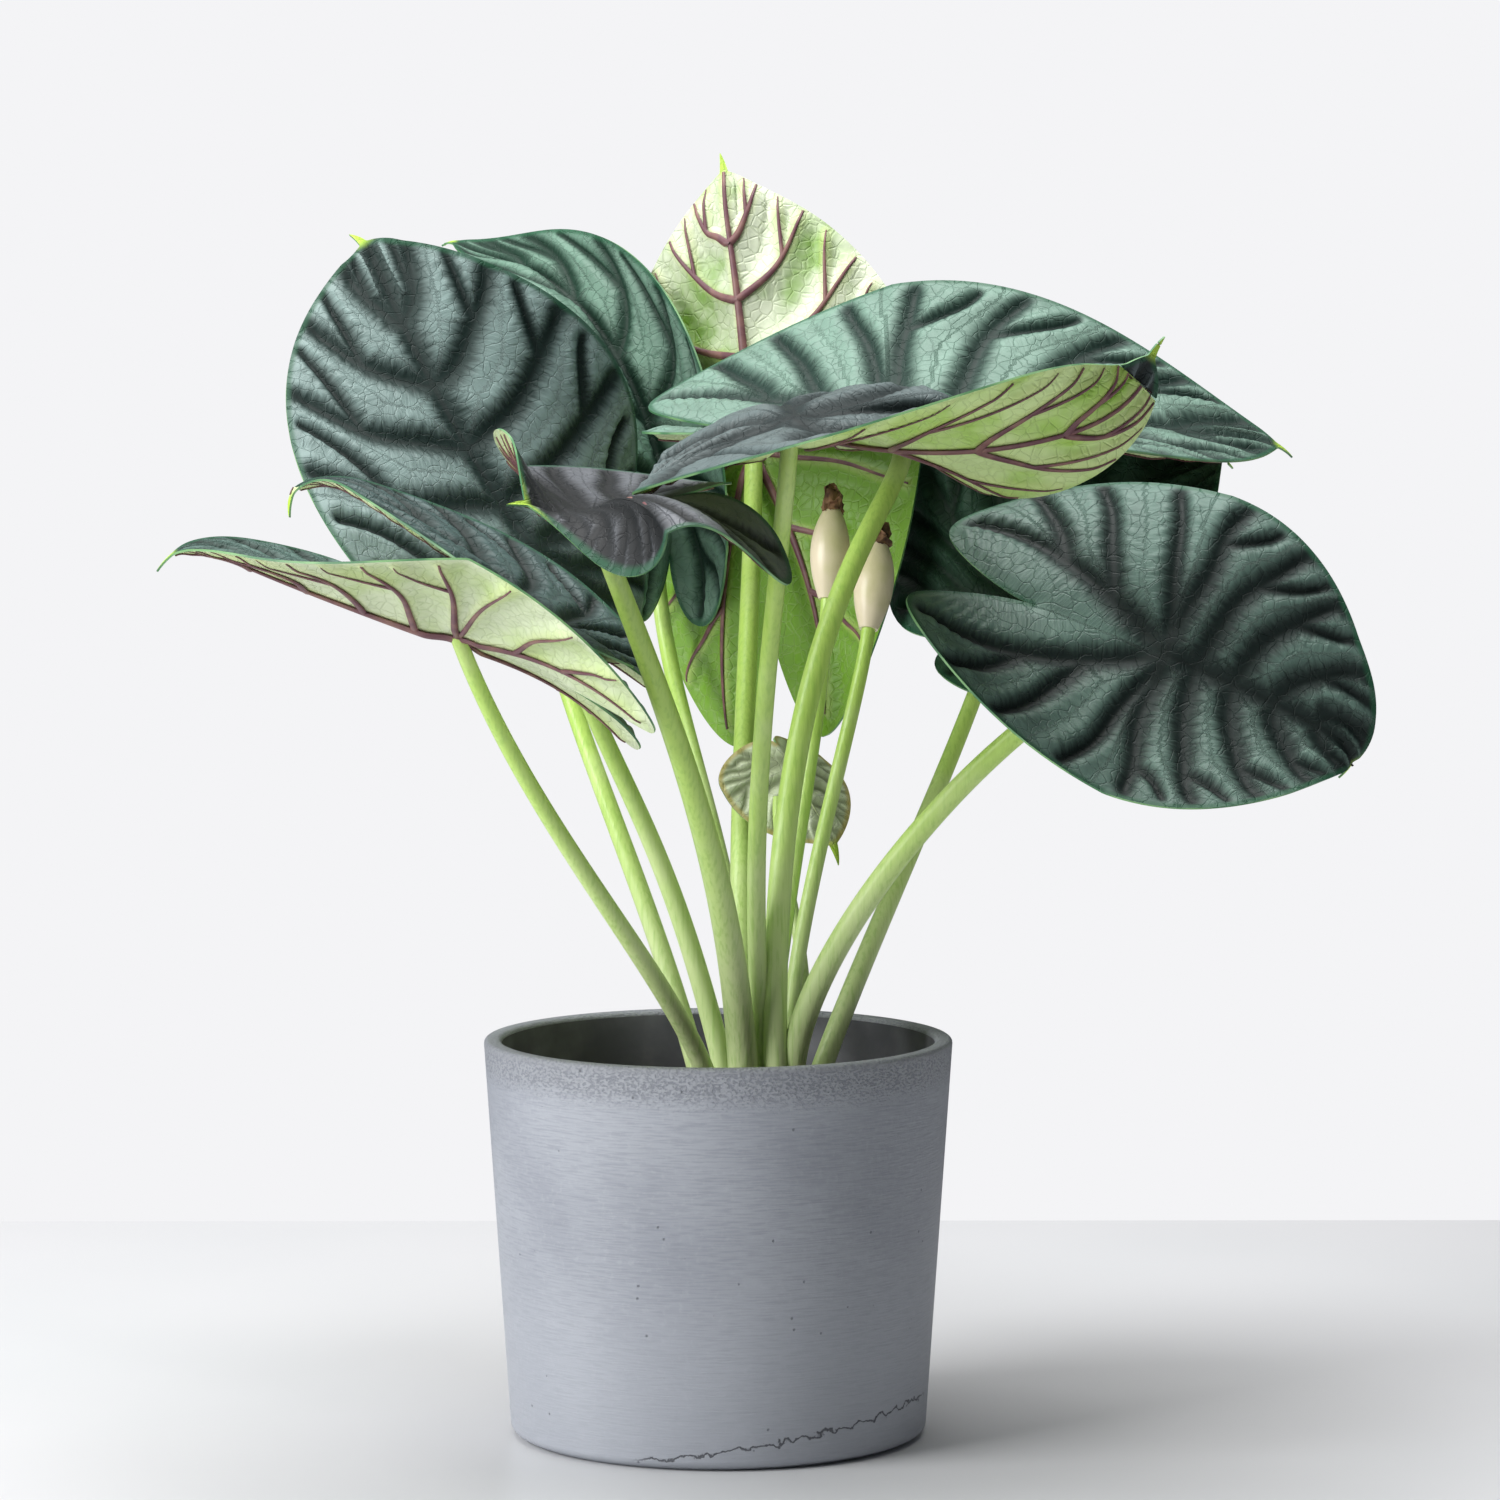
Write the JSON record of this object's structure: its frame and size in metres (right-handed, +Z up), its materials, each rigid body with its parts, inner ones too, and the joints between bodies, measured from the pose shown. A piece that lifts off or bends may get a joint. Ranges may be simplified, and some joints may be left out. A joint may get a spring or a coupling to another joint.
{
  "type": "potted alocasia plant",
  "caption": "Potted alocasia: arrow-shaped quilted silver-green leaves on long petioles and closed cream spathes, rising from soil in a round grey stone-look pot.",
  "frame": {"origin": "middle of the pot's flat underside, at the pot's foot", "axes": "+Z up along the pot's axis, -Y towards the plant's front, +X to the right of a person facing the front"},
  "size_m": [0.3925, 0.4082, 0.4326],
  "materials": {
    "pot_concrete": "matt cast concrete look with pinholes, faint scratches and a darker worn band under the rim",
    "potting_soil": "matt crumbly potting mix of bark and peat",
    "rhizome": "matt, ringed with papery leaf-sheath scars",
    "leaf": "satin silver-green upper side with dark green vein bands, pale green underside with purple-brown ribs",
    "pale_leaf": "satin; the pale green underside faces the front",
    "withered_leaf": "dull grey-green with a yellowing edge",
    "petiole": "satin light green, whiter at the sheathing base",
    "spathe": "satin cream with a green flush at the base",
    "withered_spathe": "dry, wrinkled and brown"
  },
  "bodies": {
    "root": {"pot": "pot_concrete", "soil": "potting_soil", "rhizome": "rhizome", "blade_left_low": "leaf", "blade_left_tall": "leaf", "blade_left_middle": "leaf", "blade_front_curled": "leaf", "blade_left_back": "leaf", "blade_centre_back": "pale_leaf", "blade_right_front": "leaf", "blade_right_upper": "leaf", "blade_right_low": "leaf", "blade_right_back": "leaf", "blade_withered": "withered_leaf", "petiole_left_low": "petiole", "petiole_left_tall": "petiole", "petiole_left_middle": "petiole", "petiole_front_curled": "petiole", "petiole_left_back": "petiole", "petiole_centre_back": "petiole", "petiole_right_front": "petiole", "petiole_right_upper": "petiole", "petiole_right_low": "petiole", "petiole_right_back": "petiole", "petiole_withered": "petiole", "flower_stalk_left": "petiole", "spathe_left": "spathe", "spathe_tip_left": "withered_spathe", "flower_stalk_right": "petiole", "spathe_right": "spathe", "spathe_tip_right": "withered_spathe"}
  },
  "joints": []
}
